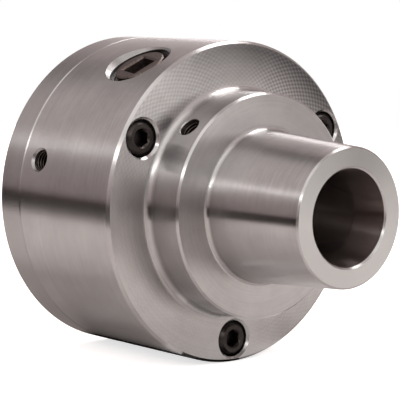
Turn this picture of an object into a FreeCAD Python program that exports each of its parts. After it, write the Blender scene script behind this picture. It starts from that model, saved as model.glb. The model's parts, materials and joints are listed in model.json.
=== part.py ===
import FreeCAD, Part
import math
import os

# Key-operated collet chuck for 5C collets, millimetres.
# +X runs along the spindle axis from the rear face to the nose, +Z is up, and the origin is the
# centre of the rear face. A clock angle is measured about +X, from +Y towards +Z.

# Outside of the chuck
body_radius = 62.5
backplate_thickness = 12.7
shell_length = 56.15
boss_radius = 43.4
boss_length = 16.8
nose_length = 45.85
nose_base_radius = 29.15
nose_tip_radius = 26.15
rear_bevel = 0.4
seam_bevel = 0.5
flange_bevel = 1.1
boss_bevel = 0.8
nose_bevel = 0.65
boss_fillet = 2.8
nose_fillet = 1.8

# Collet seat and the bore behind it
seat_mouth_radius = 18.3
seat_half_angle = 10.0
seat_mouth_bevel = 0.6
collet_bearing_radius = 15.9
collet_bearing_length = 26.0
collet_relief = 0.7
collet_thread_inset = 0.5
collet_thread_length = 18.0
collet_thread_depth = 0.6

# Backplate: short taper for the spindle nose, spigot, and the nut's rear bearing
taper_mouth_radius = 31.757
taper_half_angle = 7.125
taper_depth = 10.5
rear_lip_thickness = 3.0
rear_lip_clearance = 2.0
spigot_to_clamp_axis = 7.5
spigot_length = 16.8
spigot_bevel = 0.5
adjustment_room = 0.5

# Stud holes and the holes of the studs' lock screws, in the rear face
stud_circle_radius = 41.275
stud_clocks = (90, 210, 330)
stud_hole_radius = 5.0
stud_hole_depth = 12.0
stud_hole_bevel = 0.4
lock_offset = 11.5
lock_seat_radius = 5.2
lock_seat_depth = 6.5
lock_hole_radius = 2.5
lock_hole_depth = 11.0

# Cavity of the body
cavity_step = 1.5
cavity_margin = 0.5
bearing_pocket_depth = 9.5

# Clamp screws, M8 socket head
clamp_axis_inset = 9.0
clamp_clocks = (150, 270, 30)
clamp_head_radius = 6.5
clamp_head_height = 8.0
clamp_head_bevel = 1.2
clamp_head_recess = 0.3
clamp_key_width = 6.0
clamp_key_depth = 4.0
clamp_key_bevel = 0.8
clamp_length = 55.0
clamp_seat_radius = 7.15
clamp_seat_bevel = 0.9
clamp_clearance = 0.4
clamp_hole_spare = 0.9

# Set screws, M8: the screw radius is that of every M8 thread here
thread_radius = 4.0
thread_clearance = 0.05
screw_tip_bevel = 0.8
set_screw_key_width = 4.0
set_screw_key_depth = 4.5
adjuster_hole_bevel = 0.9
adjuster_station = 10.1
adjuster_clocks = (165, 75, 345, 255)
adjuster_length = 10.0
adjuster_gap = 0.03
key_screw_hole_bevel = 0.4
key_screw_station = 7.65
key_screw_clock = 134.3
key_screw_length = 19.0
key_screw_shoulder = 0.6
key_dog_radius = 2.6
key_dog_reach = 2.0

# Bevel gears
pinion_station = 32.9
pinion_clock = 119.4
pinion_teeth = 10
crown_teeth = 50
crown_rim_clearance = 0.5
crown_rim_wall = 1.0
teeth_to_hub = 6.0
pressure_angle = 25.0
addendum_share = 0.8
dedendum_share = 1.0
backlash = 0.16
tooth_root_overlap = 0.6
blank_overrun = 0.8
flank_steps = 6

# Pinion
pinion_hole_radius = 11.5
pinion_mouth_step = 0.8
pinion_mouth_depth = 4.0
pinion_mouth_bevel = 2.0
pinion_face_recess = 1.6
pinion_face_bevel = 0.5
pinion_neck_step = 1.55
pinion_neck_length = 2.9
pinion_rim_clearance = 0.3
pinion_clearance = 0.05
pinion_groove_depth = 1.85
pinion_groove_inset = 7.5
key_square = 10.0
key_square_depth = 14.0
key_square_bevel = 0.7
key_square_turn = -12.0

# Pin that keeps the pinion in
pin_radius = 2.0
pin_side_gap = 0.1
pin_groove_gap = 0.2
pin_bevel = 0.4
pin_inset = 0.5
pin_past_pinion = 6.0
pin_hole_clearance = 0.02
pin_hole_spare = 1.0

# Draw nut
nut_journal_wall = 8.0
nut_clearance = 0.05
nut_end_play = 0.3
nut_pilot_wall = 3.6
nut_pilot_length = 5.0
nut_bevel = 0.5

# Thrust bearing between the nut and the body
ball_radius = 2.75
ball_count = 18
pilot_to_balls = 5.5
balls_to_pocket = 5.6
hub_inset = 2.1
ball_clearance = 0.03
race_radius = 2.85
race_depth = 0.85
washer_thickness = 2.6
washer_bevel = 0.4
washer_fit = 0.03
washer_running_gap = 0.6
front_washer_bore_gap = 1.0
cage_thickness = 1.8
cage_wall = 1.4
ball_pocket_gap = 0.06

# Drill point of a blind hole
drill_half_angle = 59.0
OVERCUT = 1.0

# Radii that follow inwards from the outside: screws, spigot, cavity, crown wheel, pinion
clamp_circle_radius = body_radius - clamp_axis_inset
spigot_radius = clamp_circle_radius - spigot_to_clamp_axis
cavity_radius = spigot_radius - cavity_step
crown_rim_radius = cavity_radius - crown_rim_clearance
crown_pitch_radius = crown_rim_radius - crown_rim_wall
pinion_journal_start = crown_rim_radius + pinion_rim_clearance
pinion_face_height = body_radius - pinion_face_recess
pinion_shoulder_height = pinion_face_height - pinion_neck_length
pinion_mouth_floor = body_radius - pinion_mouth_depth
pinion_mouth_radius = pinion_hole_radius + pinion_mouth_step
pinion_groove_height = pinion_face_height - pinion_groove_inset
pinion_journal_radius = pinion_hole_radius - pinion_clearance
pinion_groove_radius = pinion_journal_radius - pinion_groove_depth
pinion_neck_radius = pinion_journal_radius - pinion_neck_step

# Radii that follow outwards from the collet: thread, bores, nut, thrust bearing, end of the teeth
collet_relief_radius = collet_bearing_radius + collet_relief
collet_thread_radius = collet_bearing_radius - collet_thread_inset
bar_bore_radius = collet_thread_radius + collet_thread_depth
rear_lip_radius = bar_bore_radius + rear_lip_clearance
nut_journal_radius = bar_bore_radius + nut_journal_wall
nut_pilot_radius = collet_thread_radius + nut_pilot_wall
ball_circle_radius = nut_pilot_radius + pilot_to_balls
bearing_pocket_radius = ball_circle_radius + balls_to_pocket
nut_hub_radius = bearing_pocket_radius - hub_inset
teeth_inner_radius = nut_hub_radius + teeth_to_hub

# Stations along the axis
seam_x = backplate_thickness
flange_x = seam_x + shell_length
clamp_head_seat_x = flange_x - clamp_head_recess - clamp_head_height
clamp_tip_x = clamp_head_seat_x - clamp_length
boss_x = flange_x + boss_length
nose_x = boss_x + nose_length
spigot_x = seam_x + spigot_length
pinion_x = seam_x + pinion_station
cavity_front_x = pinion_x + pinion_hole_radius + cavity_margin
bearing_front_x = cavity_front_x + bearing_pocket_depth
seat_length = (seat_mouth_radius - collet_bearing_radius) / math.tan(math.radians(seat_half_angle))
bearing_bore_front_x = nose_x - seat_length
bearing_bore_rear_x = bearing_bore_front_x - collet_bearing_length
nut_rear_x = taper_depth + rear_lip_thickness + nut_end_play
crown_rear_x = spigot_x + nut_end_play

# The thrust bearing is stacked back from the body's shoulder
ball_gap = 2 * (ball_radius + ball_clearance - race_depth)
front_washer_x = bearing_front_x - washer_thickness
rear_washer_x = front_washer_x - ball_gap - washer_thickness
ball_x = front_washer_x - ball_gap / 2

# Bevel gear cones: both pitch cones meet where the two axes cross
pitch_angle = math.atan2(pinion_teeth, crown_teeth)
cone_distance = crown_pitch_radius / math.cos(pitch_angle)
module = 2 * crown_pitch_radius / crown_teeth
addendum = addendum_share * module
dedendum = dedendum_share * module
small_end_share = teeth_inner_radius / crown_pitch_radius

# The root cones run a little past both ends of the teeth
blank_large_share = 1 + blank_overrun / cone_distance
blank_small_share = small_end_share - blank_overrun / cone_distance

Vector = FreeCAD.Vector
ORIGIN = Vector(0, 0, 0)
X_AXIS = Vector(1, 0, 0)
Z_AXIS = Vector(0, 0, 1)


def profile_point(corner):
    return Vector(corner[0], 0, corner[1])


def treated_corner(before, corner, after):
    """Start, middle and end of a corner: a plain one has all three at the same place."""
    here = profile_point(corner)
    if len(corner) == 2:
        return here, here, here
    treatment, size = corner[2:]
    back = (profile_point(before) - here).normalize()
    onward = (profile_point(after) - here).normalize()
    if treatment == "bevel":
        start = here + back * size
        end = here + onward * size
        return start, (start + end) / 2, end
    half_angle = back.getAngle(onward) / 2
    setback = size / math.tan(half_angle)
    inward = (back + onward).normalize() * (size / math.sin(half_angle) - size)
    return here + back * setback, here + inward, here + onward * setback


def outline(corners):
    """Closed wire through (x, radius) corners, each plain, bevelled or rounded."""
    count = len(corners)
    treated = [
        treated_corner(corners[i - 1], corners[i], corners[(i + 1) % count]) for i in range(count)
    ]
    edges = []
    for i, (start, middle, end) in enumerate(treated):
        edges.append(Part.makeLine(treated[i - 1][2], start))
        if corners[i][2:3] == ("round",):
            edges.append(Part.Arc(start, middle, end).toShape())
        elif corners[i][2:3] == ("bevel",):
            edges.append(Part.makeLine(start, end))
    return Part.Wire(edges)


def turned(corners):
    """Solid turned about the X axis from (x, radius) corners."""
    return Part.Face(outline(corners)).revolve(ORIGIN, X_AXIS, 360)


def rod(start_x, end_x, radius):
    return Part.makeCylinder(radius, end_x - start_x, Vector(start_x, 0, 0), X_AXIS)


def cone(start_x, end_x, start_radius, end_radius):
    return Part.makeCone(start_radius, end_radius, end_x - start_x, Vector(start_x, 0, 0), X_AXIS)


def regular_prism(sides, across_flats, start_x, end_x):
    """Prism along X with its flats the stated distance apart."""
    corner_radius = across_flats / 2 / math.cos(math.pi / sides)
    points = []
    for i in range(sides + 1):
        angle = math.radians(360 * (i + 0.5) / sides)
        points.append(Vector(start_x, corner_radius * math.cos(angle), corner_radius * math.sin(angle)))
    return Part.Face(Part.makePolygon(points)).extrude(Vector(end_x - start_x, 0, 0))


def drilled(end_x, depth, radius):
    """Blind hole along X that opens at end_x towards +X, with a drill point at its bottom."""
    bottom_x = end_x - depth
    point_length = radius / math.tan(math.radians(drill_half_angle))
    return turned([
        (bottom_x - point_length, 0),
        (bottom_x, radius),
        (end_x + OVERCUT, radius),
        (end_x + OVERCUT, 0),
    ])


def countersink(mouth_x, hole_radius, size):
    """Cone that bevels a hole's mouth at mouth_x, open towards +X."""
    return cone(mouth_x - size, mouth_x + OVERCUT, hole_radius, hole_radius + size + OVERCUT)


def set_radially(shape, station, clock):
    """Turns a shape made along +X to stand outwards at this clock angle."""
    placed = shape.copy()
    placed.rotate(ORIGIN, Z_AXIS, 90)
    placed.rotate(ORIGIN, X_AXIS, clock)
    placed.translate(Vector(station, 0, 0))
    return placed


def set_axially(shape, station, circle_radius, clock):
    """Moves a shape made along +X to this place on a circle about the axis."""
    angle = math.radians(clock)
    placed = shape.copy()
    placed.translate(Vector(station, circle_radius * math.cos(angle), circle_radius * math.sin(angle)))
    return placed


def facing_rear(shape):
    """Turns a shape made along +X to point along -X."""
    placed = shape.copy()
    placed.rotate(ORIGIN, Z_AXIS, 180)
    return placed


# Body

def body_blank():
    return turned([
        (seam_x, spigot_radius + adjustment_room),
        (seam_x, body_radius, "bevel", seam_bevel),
        (flange_x, body_radius, "bevel", flange_bevel),
        (flange_x, boss_radius, "round", boss_fillet),
        (boss_x, boss_radius, "bevel", boss_bevel),
        (boss_x, nose_base_radius, "round", nose_fillet),
        (nose_x, nose_tip_radius, "bevel", nose_bevel),
        (nose_x, seat_mouth_radius, "bevel", seat_mouth_bevel),
        (bearing_bore_front_x, collet_bearing_radius),
        (bearing_bore_rear_x, collet_bearing_radius),
        (bearing_bore_rear_x, collet_relief_radius),
        (bearing_front_x, collet_relief_radius),
        (bearing_front_x, bearing_pocket_radius),
        (cavity_front_x, bearing_pocket_radius),
        (cavity_front_x, cavity_radius),
        (crown_rear_x, cavity_radius),
        (crown_rear_x, spigot_radius + adjustment_room),
    ])


def clamp_holes():
    """Clearance holes right through the shell with counterbores in the flange face."""
    through = rod(seam_x - OVERCUT, flange_x, thread_radius + clamp_clearance)
    seat = rod(clamp_head_seat_x, flange_x + boss_fillet, clamp_seat_radius)
    mouth = countersink(flange_x, clamp_seat_radius, clamp_seat_bevel)
    hole = through.multiFuse([seat, mouth])
    return [set_axially(hole, 0, clamp_circle_radius, clock) for clock in clamp_clocks]


def side_hole(inner_radius, outer_radius, hole_radius, bevel):
    """Radial hole from a bore to the outside, bevelled at the outside."""
    shaft = rod(inner_radius, outer_radius + OVERCUT, hole_radius)
    return shaft.fuse(countersink(outer_radius, hole_radius, bevel))


def adjuster_holes():
    hole = side_hole(spigot_radius, body_radius, thread_radius + thread_clearance, adjuster_hole_bevel)
    return [set_radially(hole, seam_x + adjuster_station, clock) for clock in adjuster_clocks]


def key_screw_hole():
    shoulder_radius = collet_relief_radius + key_screw_shoulder
    shaft = side_hole(shoulder_radius, boss_radius, thread_radius + thread_clearance, key_screw_hole_bevel)
    dog_hole = rod(collet_relief_radius / 2, boss_radius, key_dog_radius + thread_clearance)
    return set_radially(shaft.fuse(dog_hole), flange_x + key_screw_station, key_screw_clock)


def pinion_hole():
    """Bore for the pinion with a wider mouth, which takes the collar of the key."""
    bore = rod(cavity_radius / 2, body_radius, pinion_hole_radius)
    mouth = side_hole(pinion_mouth_floor, body_radius, pinion_mouth_radius, pinion_mouth_bevel)
    return set_radially(bore.fuse(mouth), pinion_x, pinion_clock)


def pin_place():
    """Radius and clock angle of the pin's axis, beside the pinion's groove."""
    sideways = pinion_groove_radius + pin_side_gap + pin_radius
    return math.hypot(pinion_groove_height, sideways), \
        pinion_clock - math.degrees(math.atan2(sideways, pinion_groove_height))


def pin_hole():
    end_x = pinion_x + pin_past_pinion + pin_hole_spare
    bore = rod(seam_x - OVERCUT, end_x, pin_radius + pin_hole_clearance)
    return set_axially(bore, 0, *pin_place())


def chuck_body():
    holes = clamp_holes() + adjuster_holes() + [key_screw_hole(), pinion_hole(), pin_hole()]
    return body_blank().cut(holes)


# Backplate

def backplate_blank():
    taper_floor_radius = taper_mouth_radius - taper_depth * math.tan(math.radians(taper_half_angle))
    lip_x = taper_depth + rear_lip_thickness
    return turned([
        (0, taper_mouth_radius),
        (0, body_radius, "bevel", rear_bevel),
        (seam_x, body_radius, "bevel", seam_bevel),
        (seam_x, spigot_radius),
        (spigot_x, spigot_radius, "bevel", spigot_bevel),
        (spigot_x, nut_journal_radius + nut_clearance),
        (lip_x, nut_journal_radius + nut_clearance),
        (lip_x, rear_lip_radius),
        (taper_depth, rear_lip_radius),
        (taper_depth, taper_floor_radius),
    ])


def backplate():
    tapped_depth = seam_x - clamp_tip_x + clamp_hole_spare
    tapped = drilled(seam_x, tapped_depth, thread_radius + thread_clearance)
    stud = drilled(0, stud_hole_depth, stud_hole_radius)
    stud = stud.fuse(countersink(0, stud_hole_radius, stud_hole_bevel))
    lock = drilled(0, lock_hole_depth, lock_hole_radius)
    lock = lock.fuse(rod(-lock_seat_depth, OVERCUT, lock_seat_radius))
    lock_turn = math.degrees(2 * math.asin(lock_offset / 2 / stud_circle_radius))
    holes = [set_axially(tapped, 0, clamp_circle_radius, clock) for clock in clamp_clocks]
    for clock in stud_clocks:
        holes.append(set_axially(facing_rear(stud), 0, stud_circle_radius, clock))
        holes.append(set_axially(facing_rear(lock), 0, stud_circle_radius, clock + lock_turn))
    return backplate_blank().cut(holes)


# Screws

def clamp_screw():
    """Socket head cap screw along X, its seat under the head at x = 0."""
    blank = turned([
        (-clamp_length, 0),
        (-clamp_length, thread_radius, "bevel", screw_tip_bevel),
        (0, thread_radius),
        (0, clamp_head_radius),
        (clamp_head_height, clamp_head_radius, "bevel", clamp_head_bevel),
        (clamp_head_height, 0),
    ])
    socket_floor = clamp_head_height - clamp_key_depth
    socket = regular_prism(6, clamp_key_width, socket_floor, clamp_head_height + OVERCUT)
    mouth = countersink(clamp_head_height, clamp_key_width / 2, clamp_key_bevel)
    return blank.cut([socket, mouth])


def set_screw(tip_x, length):
    """Socket set screw along X from its tip outwards."""
    end_x = tip_x + length
    blank = turned([
        (tip_x, 0),
        (tip_x, thread_radius, "bevel", screw_tip_bevel),
        (end_x, thread_radius, "bevel", screw_tip_bevel),
        (end_x, 0),
    ])
    return blank.cut(regular_prism(6, set_screw_key_width, end_x - set_screw_key_depth, end_x + OVERCUT))


def adjusting_screw(clock):
    screw = set_screw(spigot_radius + adjuster_gap, adjuster_length)
    return set_radially(screw, seam_x + adjuster_station, clock)


def collet_key_screw():
    shoulder = collet_relief_radius + key_screw_shoulder
    shank = set_screw(shoulder + adjuster_gap, key_screw_length)
    dog = rod(collet_relief_radius - key_dog_reach, shoulder + key_screw_length / 2, key_dog_radius)
    return set_radially(shank.fuse(dog), flange_x + key_screw_station, key_screw_clock)


# Bevel teeth

def involute(angle):
    return math.tan(angle) - angle


def tooth_flank(virtual_radius):
    """Half section of a tooth as (half width, height over the pitch line), from root to tip."""
    pressure = math.radians(pressure_angle)
    base_radius = virtual_radius * math.cos(pressure)
    half_pitch = (math.pi * module - backlash) / 4 / virtual_radius
    root = virtual_radius - dedendum - tooth_root_overlap
    tip = virtual_radius + addendum
    start = max(base_radius, virtual_radius - dedendum)
    radii = [root] + [start + (tip - start) * i / flank_steps for i in range(flank_steps + 1)]
    section = []
    for radius in radii:
        contact = math.acos(min(1, base_radius / max(radius, start)))
        half_angle = half_pitch + involute(pressure) - involute(contact)
        section.append((radius * math.sin(half_angle), radius * math.cos(half_angle) - virtual_radius))
    return section


def prism_between(big, small):
    """Solid between two like polygons, with flat faces."""
    count = len(big)
    faces = [Part.Face(Part.makePolygon(ring + ring[:1])) for ring in (big, small)]
    for i in range(count):
        k = (i + 1) % count
        faces.append(Part.Face(Part.makePolygon([big[i], big[k], small[k], small[i], big[i]])))
    solid = Part.makeSolid(Part.makeShell(faces))
    if solid.Volume < 0:
        solid.reverse()
    return solid


def bevel_tooth(apex, along, height, across, section):
    """Tooth whose large end is one cone distance from the apex and which tapers towards it."""
    centre = apex + along * cone_distance
    sides = [(-width, rise) for width, rise in section]
    sides += [(width, rise) for width, rise in reversed(section)]
    big = [centre + across * width + height * rise for width, rise in sides]
    small = [apex + (point - apex) * small_end_share for point in big]
    return prism_between(big, small)


def cone_corner(share, rise):
    """(along pinion axis, from pinion axis) of a point over the pinion's pitch cone."""
    reach = cone_distance * share
    lift = rise * share
    return (reach * math.cos(pitch_angle) - lift * math.sin(pitch_angle),
            reach * math.sin(pitch_angle) + lift * math.cos(pitch_angle))


def crown_corner(share, rise):
    """(x, radius) of a point over the crown wheel's pitch cone."""
    reach = cone_distance * share
    lift = rise * share
    return (pinion_x - reach * math.sin(pitch_angle) + lift * math.cos(pitch_angle),
            reach * math.cos(pitch_angle) + lift * math.sin(pitch_angle))


# Pinion

def pinion_blank():
    large_root = cone_corner(blank_large_share, -dedendum)
    small_root = cone_corner(blank_small_share, -dedendum)
    groove_half = pin_radius + pin_groove_gap
    return turned([
        (small_root[0], 0),
        small_root,
        large_root,
        (pinion_journal_start, large_root[1]),
        (pinion_journal_start, pinion_journal_radius),
        (pinion_groove_height - groove_half, pinion_journal_radius),
        (pinion_groove_height - groove_half, pinion_groove_radius),
        (pinion_groove_height + groove_half, pinion_groove_radius),
        (pinion_groove_height + groove_half, pinion_journal_radius),
        (pinion_shoulder_height, pinion_journal_radius),
        (pinion_shoulder_height, pinion_neck_radius),
        (pinion_face_height, pinion_neck_radius, "bevel", pinion_face_bevel),
        (pinion_face_height, 0),
    ])


def square_corners(x, half_side):
    return [Vector(x, half_side * y, half_side * z) for y, z in ((1, 1), (-1, 1), (-1, -1), (1, -1))]


def key_socket():
    """Square socket with a bevelled mouth."""
    floor = pinion_face_height - key_square_depth
    shaft = regular_prism(4, key_square, floor, pinion_face_height + OVERCUT)
    half_side = key_square / 2
    wide = square_corners(pinion_face_height + OVERCUT, half_side + key_square_bevel + OVERCUT)
    narrow = square_corners(pinion_face_height - key_square_bevel, half_side)
    socket = shaft.fuse(prism_between(wide, narrow))
    socket.rotate(ORIGIN, X_AXIS, key_square_turn)
    return socket


def pinion():
    """One tooth points at the crown wheel, into the space between two of its teeth."""
    section = tooth_flank(cone_distance * math.tan(pitch_angle))
    teeth = []
    for i in range(pinion_teeth):
        turn = 2 * math.pi * i / pinion_teeth
        outwards = Vector(0, math.cos(turn), math.sin(turn))
        along = X_AXIS * math.cos(pitch_angle) + outwards * math.sin(pitch_angle)
        height = outwards * math.cos(pitch_angle) - X_AXIS * math.sin(pitch_angle)
        across = Vector(0, -math.sin(turn), math.cos(turn))
        teeth.append(bevel_tooth(ORIGIN, along, height, across, section))
    shape = pinion_blank().multiFuse(teeth).cut(key_socket())
    return set_radially(shape, pinion_x, pinion_clock)


def pinion_retaining_pin():
    end_x = pinion_x + pin_past_pinion
    blank = turned([
        (seam_x + pin_inset, 0),
        (seam_x + pin_inset, pin_radius, "bevel", pin_bevel),
        (end_x, pin_radius, "bevel", pin_bevel),
        (end_x, 0),
    ])
    return set_axially(blank, 0, *pin_place())


# Draw nut

def nut_blank():
    large_root = crown_corner(blank_large_share, -dedendum)
    small_root = crown_corner(blank_small_share, -dedendum)
    nut_front_x = rear_washer_x + nut_pilot_length
    return turned([
        (nut_rear_x, bar_bore_radius),
        (nut_rear_x, nut_journal_radius, "bevel", nut_bevel),
        (crown_rear_x, nut_journal_radius),
        (crown_rear_x, crown_rim_radius, "bevel", nut_bevel),
        (large_root[0], crown_rim_radius),
        large_root,
        small_root,
        (small_root[0], nut_hub_radius),
        (rear_washer_x, nut_hub_radius, "bevel", nut_bevel),
        (rear_washer_x, nut_pilot_radius),
        (nut_front_x, nut_pilot_radius, "bevel", nut_bevel),
        (nut_front_x, collet_thread_radius, "bevel", nut_bevel),
        (nut_front_x - collet_thread_length, collet_thread_radius),
        (nut_front_x - collet_thread_length, bar_bore_radius),
    ])


def draw_nut():
    section = tooth_flank(cone_distance / math.tan(pitch_angle))
    apex = Vector(pinion_x, 0, 0)
    teeth = []
    for i in range(crown_teeth):
        turn = math.radians(pinion_clock + 360 * (i + 0.5) / crown_teeth)
        outwards = Vector(0, math.cos(turn), math.sin(turn))
        along = outwards * math.cos(pitch_angle) - X_AXIS * math.sin(pitch_angle)
        height = X_AXIS * math.cos(pitch_angle) + outwards * math.sin(pitch_angle)
        across = Vector(0, -math.sin(turn), math.cos(turn))
        teeth.append(bevel_tooth(apex, along, height, across, section))
    return nut_blank().multiFuse(teeth)


# Thrust bearing

def race(washer_face_x, outwards):
    """Ring groove that the balls run in; outwards is +1 where the face looks along +X."""
    centre_x = washer_face_x + outwards * (race_radius - race_depth)
    centre = Vector(centre_x, 0, 0)
    return Part.makeTorus(ball_circle_radius, race_radius, centre, X_AXIS)


def washer(start_x, bore_radius, outer_radius):
    end_x = start_x + washer_thickness
    return turned([
        (start_x, bore_radius),
        (start_x, outer_radius, "bevel", washer_bevel),
        (end_x, outer_radius, "bevel", washer_bevel),
        (end_x, bore_radius),
    ])


def thrust_washer_rear():
    """Centred on the nut's pilot, and turns with the nut."""
    ring = washer(rear_washer_x, nut_pilot_radius + washer_fit, bearing_pocket_radius - washer_running_gap)
    return ring.cut(race(rear_washer_x + washer_thickness, 1))


def thrust_washer_front():
    """Seated in the body's pocket, and clear of the nut's pilot."""
    bore_radius = nut_pilot_radius + front_washer_bore_gap
    ring = washer(front_washer_x, bore_radius, bearing_pocket_radius - washer_fit)
    return ring.cut(race(front_washer_x, -1))


def ball_place(i):
    angle = 2 * math.pi * i / ball_count
    return Vector(ball_x, ball_circle_radius * math.cos(angle), ball_circle_radius * math.sin(angle))


def thrust_cage():
    half_width = ball_radius + cage_wall
    start_x = ball_x - cage_thickness / 2
    end_x = ball_x + cage_thickness / 2
    ring = rod(start_x, end_x, ball_circle_radius + half_width)
    ring = ring.cut(rod(start_x - OVERCUT, end_x + OVERCUT, ball_circle_radius - half_width))
    pocket_radius = ball_radius + ball_pocket_gap
    pockets = []
    for i in range(ball_count):
        foot = ball_place(i) - X_AXIS * cage_thickness
        pockets.append(Part.makeCylinder(pocket_radius, 2 * cage_thickness, foot, X_AXIS))
    return ring.cut(pockets)


def thrust_ball(i):
    return Part.makeSphere(ball_radius, ball_place(i))


# Assembly: one solid in each node

def all_pieces():
    pieces = {
        "chuck_body": chuck_body(),
        "backplate": backplate(),
        "collet_key_screw": collet_key_screw(),
        "pinion": pinion(),
        "pinion_retaining_pin": pinion_retaining_pin(),
        "draw_nut": draw_nut(),
        "thrust_washer_rear": thrust_washer_rear(),
        "thrust_washer_front": thrust_washer_front(),
        "thrust_cage": thrust_cage(),
    }
    for i, clock in enumerate(clamp_clocks, 1):
        screw = set_axially(clamp_screw(), clamp_head_seat_x, clamp_circle_radius, clock)
        pieces[f"clamp_screw_{i}"] = screw
    for i, clock in enumerate(adjuster_clocks, 1):
        pieces[f"adjusting_screw_{i}"] = adjusting_screw(clock)
    for i in range(ball_count):
        pieces[f"thrust_ball_{i + 1:02d}"] = thrust_ball(i)
    return pieces


def main():
    os.makedirs("parts", exist_ok=True)
    for name, shape in all_pieces().items():
        solids = shape.Solids
        print(name, "solids", len(solids), "valid", shape.isValid(), "volume", round(shape.Volume, 1))
        solids[0].exportStep(f"parts/{name}.step")


main()
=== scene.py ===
# %% [markdown]
# # A key-operated collet chuck
#
# The chuck is a lathe tool: a steel body, 125 mm across, that draws a collet back into a taper in
# its nose. The solids come from CAD with their real sizes, so this lesson is about light, steel and
# the fine repeated shapes that CAD leaves out: screw threads and the knurling on screw heads.
# Everything is in metres. X runs along the spindle from the rear face to the nose, and Z is up.

# %% Load the solids
import json
from math import cos, pi, radians, sin

import bpy
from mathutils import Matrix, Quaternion, Vector


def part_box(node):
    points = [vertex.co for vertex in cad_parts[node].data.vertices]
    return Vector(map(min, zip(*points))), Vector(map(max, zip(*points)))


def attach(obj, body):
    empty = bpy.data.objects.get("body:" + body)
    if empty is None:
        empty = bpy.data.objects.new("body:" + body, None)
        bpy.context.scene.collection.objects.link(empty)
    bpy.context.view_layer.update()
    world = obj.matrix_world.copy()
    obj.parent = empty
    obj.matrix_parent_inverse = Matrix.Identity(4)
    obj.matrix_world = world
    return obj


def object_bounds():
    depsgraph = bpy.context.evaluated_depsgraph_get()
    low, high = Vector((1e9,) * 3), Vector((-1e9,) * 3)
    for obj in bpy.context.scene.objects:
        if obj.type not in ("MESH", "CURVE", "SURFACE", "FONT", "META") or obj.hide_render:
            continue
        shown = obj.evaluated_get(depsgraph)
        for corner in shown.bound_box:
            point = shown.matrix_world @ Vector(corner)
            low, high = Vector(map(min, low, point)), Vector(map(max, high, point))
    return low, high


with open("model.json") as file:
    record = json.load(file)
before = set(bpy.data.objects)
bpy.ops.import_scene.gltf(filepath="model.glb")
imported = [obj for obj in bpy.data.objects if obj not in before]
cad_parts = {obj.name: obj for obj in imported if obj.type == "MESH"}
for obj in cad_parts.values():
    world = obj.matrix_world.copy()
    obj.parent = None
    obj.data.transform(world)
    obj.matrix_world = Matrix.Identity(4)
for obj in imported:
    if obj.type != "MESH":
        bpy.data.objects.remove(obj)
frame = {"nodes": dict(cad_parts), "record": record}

cad_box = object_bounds()
MM = 0.001

# %% [markdown]
# ## The camera
#
# The photograph was taken with a long lens from about 0.8 m, a little above the spindle axis. The
# place, the aim and the small tilt of the camera were solved from the ellipses of the turned edges,
# which a round part gives for free. A lens could also be guessed and turned by eye, but then the
# ellipses would never quite agree.

# %% Place the camera
CAMERA_PLACE = Vector((0.610154, -0.477053, 0.078976))
CAMERA_AIM = Vector((0.064122, -0.014195, 0.001448))
CAMERA_TILT = radians(0.65)
SENSOR_WIDTH = 36.0
FOCAL_LENGTH = 168.6
camera = bpy.data.objects.new("camera", bpy.data.cameras.new("camera"))
bpy.context.scene.collection.objects.link(camera)
bpy.context.scene.camera = camera
camera.data.sensor_width = SENSOR_WIDTH
camera.data.lens = FOCAL_LENGTH
camera.location = CAMERA_PLACE
camera.rotation_mode = "QUATERNION"
level = (CAMERA_AIM - CAMERA_PLACE).to_track_quat("-Z", "Y")
camera.rotation_quaternion = level @ Quaternion((0, 0, 1), CAMERA_TILT)
print("camera distance", round((CAMERA_AIM - CAMERA_PLACE).length, 3), "m")

# %% [markdown]
# ## One way to add a node
#
# Shader trees and geometry trees are built from the same call: a kind of node, what goes into its
# sockets, and its own settings. A value that is another node's output becomes a link. Colours are
# written as the hex values that a paint program shows, so one function turns them to linear light.

# %% Helpers for nodes and colours
def add(tree, kind, sockets=None, **settings):
    """Adds a node to a tree, sets it up and fills its sockets with values or links."""
    node = tree.nodes.new(kind)
    for name, value in settings.items():
        setattr(node, name, value)
    for key, value in (sockets or {}).items():
        if isinstance(value, bpy.types.NodeSocket):
            tree.links.new(value, node.inputs[key])
        else:
            node.inputs[key].default_value = value
    return node


def linear(hex_code):
    """sRGB hex to a linear RGBA tuple."""
    shares = [int(hex_code[i:i + 2], 16) / 255 for i in (1, 3, 5)]
    return (*[s / 12.92 if s <= 0.04045 else ((s + 0.055) / 1.055) ** 2.4 for s in shares], 1.0)


print("mid grey #808080 is", [round(c, 3) for c in linear("#808080")[:3]])

# %% [markdown]
# ## The light tent
#
# Bare steel has almost no colour of its own: what the eye sees is the room, mirrored and smeared.
# Photographers put such parts in a white tent, whose walls are brighter in some places than others.
# The chuck is round about X, so what matters is how bright the tent wall is at each angle about X.
# One colour ramp gives that for the part of the tent behind the rear face, which the long sides
# mirror, and another for the part in front of the nose, which the bevels mirror. The two are
# blended along X, and straight ahead and behind, where all the angles meet, both fade to one grey.
# A slit overhead is almost black, and the body mirrors it as a dark streak beside the pinion. Dim
# parts of the tent are redder than bright ones, which gives the brown cast of steel in shade.
# Panels and area lights could make it too, but a smooth world gives less noise. The camera itself
# sees plain white.

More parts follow.
